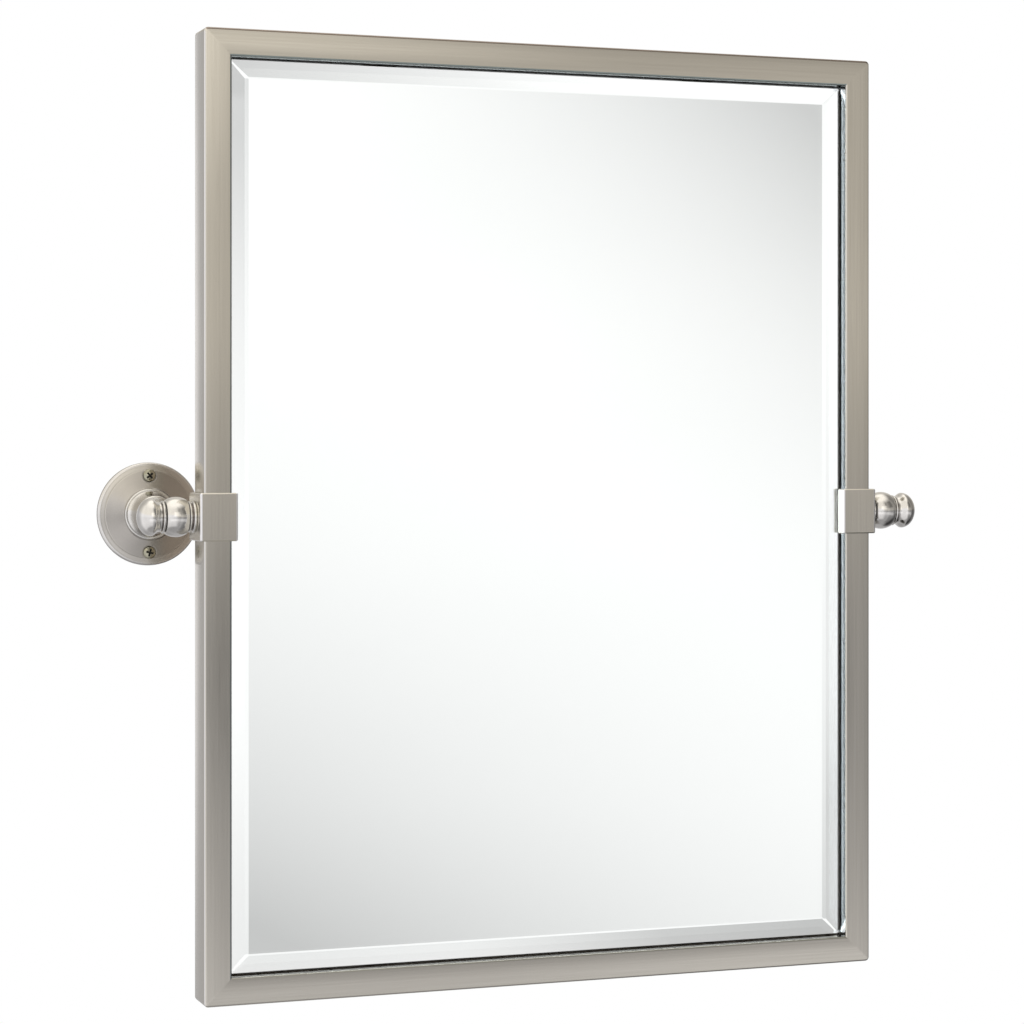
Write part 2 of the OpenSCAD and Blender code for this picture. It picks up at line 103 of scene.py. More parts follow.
# Tilt axis
axis_y = (stud_low[1] + stud_high[1]) / 2
stud_r = stud_high[2]
stud_pitch = 1 * MM
stud_thread = 0.6 * MM
bore_gap = 0.08 * MM
thread_gap = 0.05 * MM
bolt_gap = 0.2 * MM
washer_t = 0.6 * MM

# Turned pieces
ball_r = ball_high[2]
ball_x = (ball_low[0] + ball_high[0]) / 2
ball_half = (ball_high[0] - ball_low[0]) / 2
finial_r = finial_high[2]
finial_len = finial_high[0] - finial_low[0]
finial_neck_r = 9.3 * MM
finial_groove_r = 8.6 * MM
finial_rim_at = 7.8 * MM
finial_bore = 10.2 * MM
collar_r = collar_high[2]
collar_groove_r = 8.5 * MM
foot_r = 16.5 * MM
foot_t = 1.6 * MM
bell_h = 14 * MM
waist_r = 10.4 * MM
post_bead_r = 12.2 * MM
stem_foot_r = 8.8 * MM
stem_top_r = 6.9 * MM
stem_waist = 0.7 * MM
post_hole_r = 3.05 * MM
post_hole_end = 21 * MM

# Screws
spot_h = 3.8 * MM
screw_spacing = 50 * MM
screw_len = 32 * MM
screw_head_r = 4.15 * MM
screw_head_h = 2.7 * MM
screw_shank_r = 2.15 * MM
screw_thread_r = 1.9 * MM
wood_thread = 0.6 * MM
wood_pitch = 1.8 * MM
screw_point = 5 * MM
tab_spacing_v = 360 * MM
tab_spacing_h = 220 * MM
small_head_r = 2.8 * MM
small_head_h = 1.8 * MM
small_screw_r = 1.6 * MM
small_thread = 0.4 * MM
tab_t = 1.5 * MM
tab_screw_len = 7 * MM
tab_pitch = 1.1 * MM
board_pitch = 1.3 * MM

X, Y, Z = np.eye(3)

# ---- outlines ---------------------------------------------------------------------------------------


def join(*runs):
    """One outline from several runs of points and single points."""
    return np.vstack([np.atleast_2d(np.asarray(run, float)) for run in runs])


def arc(u, v, r, start, end, steps=12):
    """Points on a circle of radius r about (u, v), from one angle to another in degrees."""
    angle = np.radians(np.linspace(start, end, steps + 1))
    return np.column_stack([u + r * np.cos(angle), v + r * np.sin(angle)])


def dome(base, r, rise, steps=28):
    """A quarter of an ellipse, from its widest place at height base up to the axis."""
    angle = np.linspace(0, math.pi / 2, steps + 1)
    return np.column_stack([r * np.cos(angle), base + rise * np.sin(angle)])


def flare(r0, h0, r1, h1, steps=20):
    """A smooth step between two radii: the cubic 3 t^2 - 2 t^3, parallel to the axis at both ends."""
    t = np.linspace(0, 1, steps + 1)
    return np.column_stack([r0 + (r1 - r0) * t * t * (3 - 2 * t), h0 + (h1 - h0) * t])


def drawn_in(r0, h0, r1, h1, depth, steps=20):
    """A straight taper that a parabola draws in by depth at its middle."""
    t = np.linspace(0, 1, steps + 1)
    return np.column_stack([r0 + (r1 - r0) * t - 4 * depth * t * (1 - t), h0 + (h1 - h0) * t])


def bell(r0, h0, r1, h1, steps=28):
    """An arc that starts wide at (r0, h0), curves in and arrives parallel to the axis at (r1, h1)."""
    reach, rise = r0 - r1, h1 - h0
    big = (reach * reach + rise * rise) / (2 * reach)
    return arc(r1 + big, h1, big, 180 + math.degrees(math.asin(rise / big)), 180, steps)


def rounded(low, high, r, steps=6):
    """A closed rectangle from low to high with corners of radius r, which may be nought."""
    (u0, v0), (u1, v1) = low, high
    loop = join(
        arc(u1 - r, v0 + r, r, -90, 0, steps),
        arc(u1 - r, v1 - r, r, 0, 90, steps),
        arc(u0 + r, v1 - r, r, 90, 180, steps),
        arc(u0 + r, v0 + r, r, 180, 270, steps),
    )
    return join(loop, loop[0])


def running_length(points):
    """How far along its outline each point lies."""
    steps = np.linalg.norm(np.diff(points, axis=0), axis=1)
    return np.concatenate([[0], np.cumsum(steps)])


# ---- surfaces ---------------------------------------------------------------------------------------


def patch(points, uv=None, face_slot=0):
    """A grid of points, the place of each on its surface in metres, and the slot of its finish."""
    if uv is None:
        rows, cols = points.shape[:2]
        uv = np.stack(np.meshgrid(np.arange(rows), np.arange(cols), indexing="ij"), -1) * MM
    return points, uv, face_slot


def turned(profile, foot, along, steps=96):
    """An outline of (radius, height) turned about a line: foot + h along + r (cos a, sin a) across it.
    The grain runs round the piece: u is the arc at the mean radius, and v the length of the outline."""
    along = np.asarray(along, float)
    side = Z if abs(along[2]) < STEEP else X
    other = np.cross(along, side)
    angle = np.linspace(0, 2 * math.pi, steps + 1)
    ring = np.cos(angle)[:, None] * side + np.sin(angle)[:, None] * other
    r, h = profile[:, 0, None, None], profile[:, 1, None, None]
    points = foot + h * along + r * ring[None]
    u = np.broadcast_to(angle * profile[:, 0].mean(), points.shape[:2])
    v = np.broadcast_to(running_length(profile)[:, None], points.shape[:2])
    return patch(points, np.stack([u, v], -1))


def threaded(foot, along, length, crest, depth, pitch, flat=0.5, taper=0, steps=24, rows=6):
    """A rod with a helical thread: its radius is the crest less depth wherever the turn, height / pitch
    plus angle / full turn, is away from its ridge. flat is the share of a pitch between two ridges, and
    taper the length over which the rod comes to a point."""
    along = np.asarray(along, float)
    side = Z if abs(along[2]) < STEEP else X
    other = np.cross(along, side)
    angle = np.linspace(0, 2 * math.pi, steps + 1)
    h = np.linspace(0, length, int(length / pitch * rows) + 1)[:, None]
    turn = np.mod(h / pitch + angle[None] / (2 * math.pi), 1)
    ridge = np.clip(1 - np.abs(turn - 0.5) * 2 / (1 - flat), 0, 1)
    r = crest - depth + depth * ridge
    if taper:
        r = r * np.clip((length - h) / taper, 0.02, 1) ** 0.7
    ring = np.cos(angle)[:, None] * side + np.sin(angle)[:, None] * other
    body = foot + h[..., None] * along + r[..., None] * ring[None]
    low = np.broadcast_to(body[0].mean(0), body[:1].shape)
    high = np.broadcast_to(body[-1].mean(0), body[:1].shape)
    return patch(np.concatenate([low, body, high]))


def shell(name, patches, caps=(), sharp=35):
    """One closed mesh from patches and flat caps: edges that meet are merged, and faces point outwards."""
    points, faces, corners, slots, start = [], [], [], [], 0
    for grid, uv, face_slot in patches:
        rows, cols = grid.shape[:2]
        index = start + np.arange(rows * cols).reshape(rows, cols)
        quads = np.stack([index[:-1, :-1], index[:-1, 1:], index[1:, 1:], index[1:, :-1]], -1).reshape(-1, 4)
        points.append(grid.reshape(-1, 3))
        corners.append(uv.reshape(-1, 2)[quads - start].reshape(-1, 2))
        faces += quads.tolist()
        slots += [face_slot] * len(quads)
        start += rows * cols
    for loop in caps:
        points.append(loop)
        corners.append(loop[:, [0, 1]])
        faces.append(list(range(start, start + len(loop))))
        slots.append(0)
        start += len(loop)
    mesh = bpy.data.meshes.new(name)
    mesh.from_pydata(np.vstack(points).tolist(), [], faces)
    mesh.uv_layers.new(name="grain").uv.foreach_set("vector", np.vstack(corners).astype(np.float32).ravel())
    mesh.polygons.foreach_set("material_index", slots)
    work = bmesh.new()
    work.from_mesh(mesh)
    bmesh.ops.remove_doubles(work, verts=work.verts, dist=WELD)
    bmesh.ops.dissolve_degenerate(work, edges=work.edges, dist=SLIVER)
    bmesh.ops.recalc_face_normals(work, faces=work.faces)
    work.to_mesh(mesh)
    work.free()
    mesh.shade_smooth()
    mesh.set_sharp_from_angle(angle=math.radians(sharp))
    return mesh


def piece(name, mesh, finishes, body, record_slot, *nodes):
    """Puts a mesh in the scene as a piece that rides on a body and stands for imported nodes."""
    made = bpy.data.objects.new(name, mesh)
    bpy.context.scene.collection.objects.link(made)
    for finish in finishes:
        mesh.materials.append(finish)
    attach(made, body)
    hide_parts(*nodes)
    return made


# ---- finishes ---------------------------------------------------------------------------------------


def node(tree, kind, inputs=(), **settings):
    """Adds a shader node. An input is a plain value, or an output socket to link."""
    made = tree.nodes.new(kind)
    for key, value in settings.items():
        setattr(made, key, value)
    for key, value in dict(inputs).items():
        if isinstance(value, bpy.types.NodeSocket):
            tree.links.new(value, made.inputs[key])
        else:
            made.inputs[key].default_value = value
    return made


def new_finish(name, **sockets):
    """An empty finish with one Principled shader, whose even values are set on its own sockets."""
    material = bpy.data.materials.new(name)
    material.use_nodes = True
    tree = material.node_tree
    shader = tree.nodes["Principled BSDF"]
    for key, value in sockets.items():
        shader.inputs[key.replace("_", " ")].default_value = value
    return material, tree, shader


def streaks(tree, vector, scale, detail=4.0):
    """Noise drawn out along the first coordinate, as a value about a half."""
    stretched = node(tree, "ShaderNodeMapping", {"Vector": vector, "Scale": scale})
    return node(tree, "ShaderNodeTexNoise", {
        "Vector": stretched.outputs[0], "Scale": 1.0, "Detail": detail, "Roughness": 0.6,
    }).outputs[0]


def place_in(tree):
    """Where a point lies in the room: every piece has its origin at the frame's own."""
    return node(tree, "ShaderNodeTexCoord").outputs["Object"]


def cloudy(tree, place, scale, detail):
    """Even noise about a half, with scale features to the metre."""
    return node(tree, "ShaderNodeTexNoise", {"Vector": place, "Scale": scale, "Detail": detail}).outputs[0]


def between(tree, value, low, high, start=0.0, end=1.0):
    """Maps a value from start..end to low..high, easing in and out."""
    return node(tree, "ShaderNodeMapRange", {
        "Value": value, "From Min": start, "From Max": end, "To Min": low, "To Max": high,
    }, interpolation_type="SMOOTHSTEP").outputs[0]


def sum_of(tree, a, b, operation="ADD"):
    """Two values put together: their sum, or another plain operation."""
    return node(tree, "ShaderNodeMath", {0: a, 1: b}, operation=operation).outputs[0]


def times(tree, a, b):
    """The product of two values."""
    return sum_of(tree, a, b, "MULTIPLY")


def band(tree, value, low, high, soft):
    """1 where the value lies between low and high, easing to 0 over soft beyond each."""
    rise = between(tree, value, 0.0, 1.0, low - soft, low)
    fall = between(tree, value, 1.0, 0.0, high, high + soft)
    return times(tree, rise, fall)


def blend(tree, value, dark, light):
    """A colour between two, by a value from 0 to 1."""
    mix = node(tree, "ShaderNodeMix", data_type="RGBA")
    tree.links.new(value, mix.inputs[0])
    mix.inputs[6].default_value = (*dark, 1)
    mix.inputs[7].default_value = (*light, 1)
    return mix.outputs[2]


def bump(tree, shader, height, strength, distance):
    """Feeds a height to the shader as relief."""
    relief = node(tree, "ShaderNodeBump", {"Height": height, "Strength": strength, "Distance": distance})
    tree.links.new(relief.outputs[0], shader.inputs["Normal"])


def stretches(tree, value, ranges, soft):
    """1 where the value lies in any of the ranges, easing to 0 over soft beyond each."""
    total = 0.0
    for low, high in ranges:
        total = sum_of(tree, total, band(tree, value, low, high, soft))
    return total


def brushed_nickel(name, *painted_light_tones, gain=1.0):
    """Nickel plate brushed along each tube: fine drawn-out scratches over a faint cloud. Each further entry
    is a colour and the stretches of the way round the section that have it: painted light laid into the
    plate's colour, pale as a painted highlight on an edge, dark as painted shade, or tinted as a painted
    reflection."""
    material, tree, shader = new_finish(name, Metallic=1.0, Anisotropic=0.5, Anisotropic_Rotation=0.25)
    uv = node(tree, "ShaderNodeUVMap", uv_map="grain").outputs[0]
    fine = streaks(tree, uv, (25, 3000, 1))
    broad = streaks(tree, uv, (9, 700, 1), 3.0)
    low, high = gain * np.array([0.585, 0.56, 0.50]), gain * np.array([0.625, 0.60, 0.54])
    plate = blend(tree, between(tree, broad, 0, 1, 0.25, 0.75), low, high)
    around = node(tree, "ShaderNodeSeparateXYZ", {0: uv}).outputs[1]
    # Painted light: each tone replaces the plate's colour over its stretches, as painted highlight, painted
    # shade or painted reflection
    for tone, ranges in painted_light_tones:
        there = stretches(tree, around, ranges, TONE_EDGE)
        mix = node(tree, "ShaderNodeMix", {0: there, 6: plate, 7: (*tone, 1)}, data_type="RGBA")
        plate = mix.outputs[2]
    tree.links.new(plate, shader.inputs["Base Color"])
    tree.links.new(between(tree, fine, 0.13, 0.18, 0.3, 0.7), shader.inputs["Roughness"])
    bump(tree, shader, fine, 0.05, 0.01 * MM)
    tangent = node(tree, "ShaderNodeTangent", direction_type="UV_MAP", uv_map="grain")
    tree.links.new(tangent.outputs[0], shader.inputs["Tangent"])
    return material


def polished_nickel(name, shaded_grooves=()):
    """Bright turned nickel: nearly a mirror, with the last faint rings of the polishing mop. Grooves, given
    as stretches of the outline's length, get a dark colour as painted shade."""
    material, tree, shader = new_finish(name, Metallic=1.0)
    uv = node(tree, "ShaderNodeUVMap", uv_map="grain").outputs[0]
    rings = streaks(tree, uv, (30, 3200, 1))
    cloud = streaks(tree, uv, (90, 120, 1), 3.0)
    plate = blend(tree, between(tree, cloud, 0, 1, 0.3, 0.7), (0.70, 0.69, 0.665), (0.76, 0.75, 0.725))
    # Painted shade: a dark colour over the grooves
    if shaded_grooves:
        along = node(tree, "ShaderNodeSeparateXYZ", {0: uv}).outputs[1]
        there = stretches(tree, along, shaded_grooves, TONE_EDGE)
        mix = node(tree, "ShaderNodeMix", {0: there, 6: plate, 7: (0.20, 0.18, 0.17, 1)}, data_type="RGBA")
        plate = mix.outputs[2]
    tree.links.new(plate, shader.inputs["Base Color"])
    tree.links.new(between(tree, cloud, 0.12, 0.19, 0.25, 0.75), shader.inputs["Roughness"])
    bump(tree, shader, rings, 0.05, 0.01 * MM)
    return material


def satin_nickel(name, centre_x):
    """Nickel satined on the lathe: fine rings about the flange's own centre, a rim that the polishing has
    worn off a little towards its edge, and two lighter rings of colour on the rim as painted highlights."""
    material, tree, shader = new_finish(name, Metallic=1.0, Anisotropic=0.55, Anisotropic_Rotation=0.25)
    place = place_in(tree)
    centred = node(tree, "ShaderNodeMapping", {"Vector": place, "Location": (-centre_x, 0, 0)}).outputs[0]
    flat = node(tree, "ShaderNodeVectorMath", {0: centred, 1: (1, 0, 1)}, operation="MULTIPLY").outputs[0]
    radius = node(tree, "ShaderNodeVectorMath", {0: flat}, operation="LENGTH").outputs["Value"]
    rings = node(tree, "ShaderNodeTexNoise", {"W": radius, "Scale": 2600, "Detail": 3.0},
                 noise_dimensions="1D").outputs[0]
    cloud = cloudy(tree, place, 55, 3.0)
    plate = blend(tree, between(tree, cloud, 0, 1, 0.3, 0.7), (0.43, 0.412, 0.382), (0.47, 0.452, 0.418))
    # Painted highlights: the flat of the rim and its rounded outer edge get lighter colours
    for tone, ring in (
        ((0.57, 0.55, 0.51), (28.3 * MM, 31.5 * MM)),
        ((0.70, 0.69, 0.67), (31.9 * MM, 33.2 * MM)),
    ):
        there = stretches(tree, radius, [ring], 0.3 * MM)
        mix = node(tree, "ShaderNodeMix", {0: there, 6: plate, 7: (*tone, 1)}, data_type="RGBA")
        plate = mix.outputs[2]
    tree.links.new(plate, shader.inputs["Base Color"])
    tree.links.new(between(tree, rings, 0.21, 0.27, 0.3, 0.7), shader.inputs["Roughness"])
    fall = between(tree, radius, 1, 0, 28.4 * MM, 32.2 * MM)
    worn = node(tree, "ShaderNodeBump", {"Height": fall, "Strength": 1.0, "Distance": 0.42 * MM})
    fine = node(tree, "ShaderNodeBump", {
        "Height": rings, "Strength": 0.06, "Distance": 0.01 * MM, "Normal": worn.outputs[0],
    })
    tree.links.new(fine.outputs[0], shader.inputs["Normal"])
    tangent = node(tree, "ShaderNodeTangent", direction_type="RADIAL", axis="Y")
    tree.links.new(tangent.outputs[0], shader.inputs["Tangent"])
    return material


def clear_glass():
    """Float glass: clear across its thickness, green where light runs the long way to the edge."""
    material, tree, shader = new_finish(
        "clear_glass", Roughness=0.0, IOR=1.52, Transmission_Weight=1.0, Base_Color=(1, 1, 1, 1),
    )
    place = place_in(tree)
    wipe = cloudy(tree, place, 9, 5.0)
    tree.links.new(between(tree, wipe, 0.0, 0.012, 0.55, 0.8), shader.inputs["Roughness"])
    tint = node(tree, "ShaderNodeVolumeAbsorption", {"Color": (0.45, 0.86, 0.74, 1), "Density": 3.0})
    tree.links.new(tint.outputs[0], tree.nodes["Material Output"].inputs["Volume"])
    return material


def silvering(coat_front, coat_back):
    """Silver on the glass and grey paint behind it, told apart by depth."""
    material, tree, shader = new_finish("silvering")
    place = place_in(tree)
    depth = node(tree, "ShaderNodeSeparateXYZ", {0: place}).outputs[1]
    middle = 0.5 * (coat_front + coat_back)
    paint = between(tree, depth, 0, 1, middle - 0.1 * (coat_back - coat_front), middle)
    cloud = cloudy(tree, place, 30, 4.0)
    grey = blend(tree, cloud, (0.20, 0.21, 0.22), (0.26, 0.27, 0.28))
    mix = node(tree, "ShaderNodeMix", {0: paint, 7: grey}, data_type="RGBA")
    mix.inputs[6].default_value = (0.955, 0.96, 0.955, 1)
    tree.links.new(mix.outputs[2], shader.inputs["Base Color"])
    tree.links.new(between(tree, paint, 0.0, 0.6), shader.inputs["Roughness"])
    tree.links.new(between(tree, paint, 1.0, 0.0), shader.inputs["Metallic"])
    return material


def zinc_steel():
    """Bright zinc plate: a cool, slightly cloudy metal."""
    material, tree, shader = new_finish("zinc_steel", Metallic=1.0)
    place = place_in(tree)
    cloud = cloudy(tree, place, 420, 5.0)
    tree.links.new(blend(tree, between(tree, cloud, 0, 1, 0.3, 0.7), (0.56, 0.57, 0.55),
                         (0.72, 0.73, 0.71)), shader.inputs["Base Color"])
    tree.links.new(between(tree, cloud, 0.42, 0.24, 0.3, 0.7), shader.inputs["Roughness"])
    bump(tree, shader, cloud, 0.15, 0.02 * MM)
    return material


def screw_steel():
    """The wall screws: nickel plate a shade darker and yellower than the flange; the recess takes a
    near-black colour as painted shade.
    """
    material, tree, shader = new_finish("screw_steel", Metallic=1.0)
    place = place_in(tree)
    cloud = cloudy(tree, place, 600, 4.0)
    tree.links.new(blend(tree, between(tree, cloud, 0, 1, 0.3, 0.7), (0.35, 0.34, 0.26),
                         (0.46, 0.445, 0.35)), shader.inputs["Base Color"])
    tree.links.new(between(tree, cloud, 0.26, 0.16, 0.3, 0.7), shader.inputs["Roughness"])
    return material


def painted_recess_shade():
    """The cross recesses: bare pressed steel, given a near-black colour as painted shade."""
    material, tree, shader = new_finish("painted_recess_shade", Specular_IOR_Level=0.3)
    place = place_in(tree)
    cloud = cloudy(tree, place, 1500, 3.0)
    tree.links.new(blend(tree, cloud, (0.010, 0.010, 0.008), (0.035, 0.033, 0.026)),
                   shader.inputs["Base Color"])
    tree.links.new(between(tree, cloud, 0.5, 0.7), shader.inputs["Roughness"])
    return material


def black_nylon():
    """Moulded nylon washers, almost black, with a faint moulded sheen."""
    material, tree, shader = new_finish("black_nylon", Specular_IOR_Level=0.45)
    place = place_in(tree)
    cloud = cloudy(tree, place, 900, 3.0)
    tree.links.new(blend(tree, cloud, (0.060, 0.058, 0.060), (0.105, 0.102, 0.105)),
                   shader.inputs["Base Color"])
    tree.links.new(between(tree, cloud, 0.38, 0.5), shader.inputs["Roughness"])
    return material


def fibre_board():
    """Brown hardboard: pressed fibres of two lengths, darker flecks and a slightly furry relief."""
    material, tree, shader = new_finish("fibre_board", Specular_IOR_Level=0.3)
    place = place_in(tree)
    long_fibres = streaks(tree, place, (160, 300, 900), 6.0)
    cross_fibres = streaks(tree, place, (1100, 300, 190), 6.0)
    flecks = node(tree, "ShaderNodeTexVoronoi", {"Vector": place, "Scale": 420}).outputs["Distance"]
    woven = sum_of(tree, long_fibres, cross_fibres)
    tone = between(tree, woven, 0, 1, 0.75, 1.25)
    brown = blend(tree, tone, (0.225, 0.195, 0.168), (0.315, 0.275, 0.242))
    speck = between(tree, flecks, 0.55, 1.0, 0.05, 0.25)
    darker = node(tree, "ShaderNodeVectorMath", {0: brown}, operation="SCALE")
    tree.links.new(speck, darker.inputs["Scale"])
    tree.links.new(darker.outputs[0], shader.inputs["Base Color"])
    tree.links.new(between(tree, tone, 0.78, 0.62), shader.inputs["Roughness"])
    bump(tree, shader, woven, 0.35, 0.15 * MM)
    return material


def tape_foam():
    """Dark grey closed-cell foam."""
    material, tree, shader = new_finish("tape_foam", Specular_IOR_Level=0.25, Roughness=0.8)
    place = place_in(tree)
    cells = node(tree, "ShaderNodeTexVoronoi", {"Vector": place, "Scale": 1400}).outputs["Distance"]
    tree.links.new(blend(tree, cells, (0.03, 0.03, 0.032), (0.08, 0.08, 0.085)), shader.inputs["Base Color"])
    bump(tree, shader, cells, 0.4, 0.1 * MM)
    return material


# Where a tube's front edges and its inner wall lie, measured round its section from the inner edge
face_flat = tube_face - 2 * tube_edge_r
side_flat = back_y - front_y - 2 * tube_edge_r
edge_arc = math.pi / 2 * tube_edge_r
outer_edge = 3 * edge_arc + 2 * side_flat + face_flat
INNER_EDGE = (0, edge_arc)
INNER_WALL = (edge_arc, edge_arc + side_flat)
OUTER_EDGE = (outer_edge, outer_edge + edge_arc)
# The first half of the outer front edge, where the left stile carries a painted highlight
PAINTED_HIGHLIGHT_EDGE = (outer_edge, outer_edge + 0.55 * edge_arc)
# Painted light on each tube: the top rail has a teal painted reflection on its inner edge, painted shade on
# its inner wall and a brown painted shade on its outer front edge; the bottom rail has painted shade on its
# inner edge and wall; the left stile has a painted highlight on its outer front edge and painted shade on
# its inner edge; the right stile has a cool, bright painted reflection on its inner wall.
TUBE_FINISH = {
    "top_rail": brushed_nickel(
        "brushed_nickel_top", ((0.38, 0.43, 0.41), [INNER_EDGE]), ((0.20, 0.25, 0.26), [INNER_WALL]),
        ((0.33, 0.28, 0.24), [OUTER_EDGE]),
    ),
    "bottom_rail": brushed_nickel("brushed_nickel_bottom", ((0.42, 0.42, 0.39), [INNER_EDGE, INNER_WALL])),
    "left_stile": brushed_nickel(
        "brushed_nickel_left", ((0.75, 0.735, 0.71), [PAINTED_HIGHLIGHT_EDGE]), ((0.27, 0.29, 0.29), [INNER_EDGE]),
    ),
    "right_stile": brushed_nickel("brushed_nickel_right", ((0.78, 0.82, 0.84), [INNER_WALL])),
}
POLISHED = polished_nickel("polished_nickel")
GLASS = clear_glass()
coat_low, coat_high = span("silver_coat")
SILVER = silvering(coat_low[1], coat_high[1])
ZINC = zinc_steel()
SCREW = screw_steel()
RECESS = painted_recess_shade()
NYLON = black_nylon()
BOARD = fibre_board()
FOAM = tape_foam()

# ---- tube frame -------------------------------------------------------------------------------------

# How a side's own directions, along it and out of the frame, lie in the room
TUBES = {
    "top_rail": (X, Z, half_w, half_h),
    "right_stile": (-Z, X, half_h, half_w),
    "bottom_rail": (-X, -Z, half_w, half_h),
    "left_stile": (Z, -X, half_h, half_w),
}


def mitred_wall(section, along, out, half_length, half_across, steps=8):
    """One wall of a tube, carried from mitre to mitre. A section point that lies s in from the frame's
    outline follows that outline drawn in by s: an eighth turn of radius corner - s, or none where s is
    more, then the straight, then another eighth."""
    inset, depth = section[:, 0, None], section[:, 1, None]
    reach = np.maximum(frame_corner_r, inset)
    r = np.maximum(frame_corner_r - inset, 0)
    first = np.radians(np.linspace(135, 90, steps + 1))[None]
    last = np.radians(np.linspace(90, 45, steps + 1))[None]
    run = np.hstack([reach - half_length + r * np.cos(first), half_length - reach + r * np.cos(last)])
    rise = np.hstack([half_across - reach + r * np.sin(first), half_across - reach + r * np.sin(last)])
    back = np.broadcast_to(front_y + depth, run.shape)
    points = run[..., None] * along + rise[..., None] * out + back[..., None] * Y
    around = np.broadcast_to(running_length(section)[:, None], run.shape)
    return points, np.stack([run, around], -1)


def tube(name):
    """A hollow mitred tube: outer wall, inner wall, and the cut ring that joins them at each mitre."""
    along, out, half_length, half_across = TUBES[name]
    depth = back_y - front_y
    w = tube_wall
    outer = rounded((0, 0), (tube_face, depth), tube_edge_r)
    inner = rounded((w, w), (tube_face - w, depth - w), 0)
    outside, outside_uv = mitred_wall(outer, along, out, half_length, half_across)
    inside, inside_uv = mitred_wall(inner, along, out, half_length, half_across)
    rings = [patch(np.stack([outside[:, end], inside[:, end]])) for end in (0, -1)]
    mesh = shell(name + "_tube", [patch(outside, outside_uv), patch(inside, inside_uv)] + rings)
    return piece(name + "_tube", mesh, [TUBE_FINISH[name]], "mirror", "brushed_nickel", name)


for tube_name in TUBES:
    tube(tube_name)

# ---- glass ------------------------------------------------------------------------------------------


def bevelled_glass():
    """The glass as one closed shell: its rectangular outline drawn in by each inset of the edge's own
    profile, from the back arris round the edge and up the bevel to the field, with a flat at each end."""
    back, face = glass_high[1] - coat_hair, glass_low[1]
    edge_front = glass_high[1] - glass_edge_t
    slope = (edge_front - face) / bevel_w
    profile = np.array([
        [glass_arris, back],
        [0, back - glass_arris],
        [0, edge_front + glass_arris],
        [glass_arris, edge_front - glass_arris * slope],
        [bevel_w, face],
    ])
    corner = np.array([[-1, -1], [1, -1], [1, 1], [-1, 1], [-1, -1]])
    half = np.array([glass_high[0], glass_high[2]])
    flat = corner[None] * (half - profile[:, 0, None, None])
    depth = np.broadcast_to(profile[:, 1, None], flat.shape[:2])
    rim = np.stack([flat[..., 0], depth, flat[..., 1]], -1)
    cell = [[0, 1], [3, 2]]
    faces = [patch(rim), patch(rim[-1][cell]), patch(rim[0][cell], face_slot=1)]
    mesh = shell("bevelled_glass", faces, sharp=8)
    return piece("bevelled_glass", mesh, [GLASS, SILVER], "mirror", "clear_glass", "mirror_glass")


bevelled_glass()

# ---- clips ------------------------------------------------------------------------------------------


def clip(side):
    """The clip's plan, an outer outline with two bends and a square inner one, carried up its height.
    At both ends the outer outline is drawn in by the chamfer."""
    lip_x, cheek_x = clip_low[0], clip_high[0]
    face, back = clip_low[1], clip_high[1]
    gap_in, gap_out, gap_y = lip_x + clip_t, cheek_x - clip_t, face + clip_t
    lip_end = front_y + clip_lip

    def plan(inset):
        r = clip_bend_r - inset
        centre_y = face + clip_bend_r
        return join(
            [gap_in, lip_end], [lip_x + inset, lip_end],
            arc(lip_x + clip_bend_r, centre_y, r, 180, 270, 10),
            arc(cheek_x - clip_bend_r, centre_y, r, 270, 360, 10),
            [cheek_x - inset, back], [gap_out, back], [gap_out, gap_y], [gap_in, gap_y], [gap_in, lip_end],
        )

    top, c = clip_high[2], clip_chamfer
    levels = [(-top, c), (c - top, 0), (top - c, 0), (top, c)]
    loops = np.stack([plan(inset) for _, inset in levels])
    heights = np.broadcast_to(np.array([z for z, _ in levels])[:, None], loops.shape[:2])
    points = np.stack([side * loops[..., 0], loops[..., 1], heights], -1)
    round_it = np.broadcast_to(running_length(plan(0)), loops.shape[:2])
    mesh = shell("clip", [patch(points, np.stack([heights, round_it], -1))],
                 caps=[points[0, :-1], points[-1, :-1]], sharp=25)
    name = ("left" if side < 0 else "right") + "_clip"
    bend = math.pi / 2 * clip_bend_r
    lip_bend = clip_t + lip_end - face - clip_bend_r
    cheek_bend = lip_bend + bend + cheek_x - lip_x - 2 * clip_bend_r
    # Both bends get a lighter colour: a painted highlight
    painted_highlight_bends = [(lip_bend, lip_bend + bend), (cheek_bend, cheek_bend + bend)]
    finish = brushed_nickel(name + "_nickel", ((0.84, 0.83, 0.82), painted_highlight_bends), gain=1.1)
    return piece(name + "_bent", mesh, [finish], "mirror", "brushed_nickel", name)


# ---- turned pieces ----------------------------------------------------------------------------------


def on_axis(side, x):
    """The place on the tilt axis at distance x from the middle, on that side."""
    return side * x * X + axis_y * Y


def collar(side, name):
    """A bead against the clip, a groove, and a smaller bead that bears on the washer, with the bore."""
    length = collar_high[0] - collar_low[0]
    bead, ring = 0.95 * MM, 0.6 * MM
    ring_r = washer_high[2] + 0.3 * MM
    bore = stud_r + bolt_gap
    profile = join(
        [bore, length], [bore, 0], [collar_r - bead, 0],
        arc(collar_r - bead, bead, bead, -90, 90, 16),
        [collar_groove_r, 2 * bead], [collar_groove_r, length - 2 * ring],
        arc(ring_r - ring, length - ring, ring, -90, 90, 14), [bore, length],
    )
    # The groove gets painted shade in the finish
    finish = polished_nickel(name + "_nickel", groove_of(profile, collar_groove_r))
    mesh = shell(name, [turned(profile, on_axis(side, collar_low[0]), side * X)])
    return piece(name + "_turned", mesh, [finish], "mirror", "polished_nickel", name)


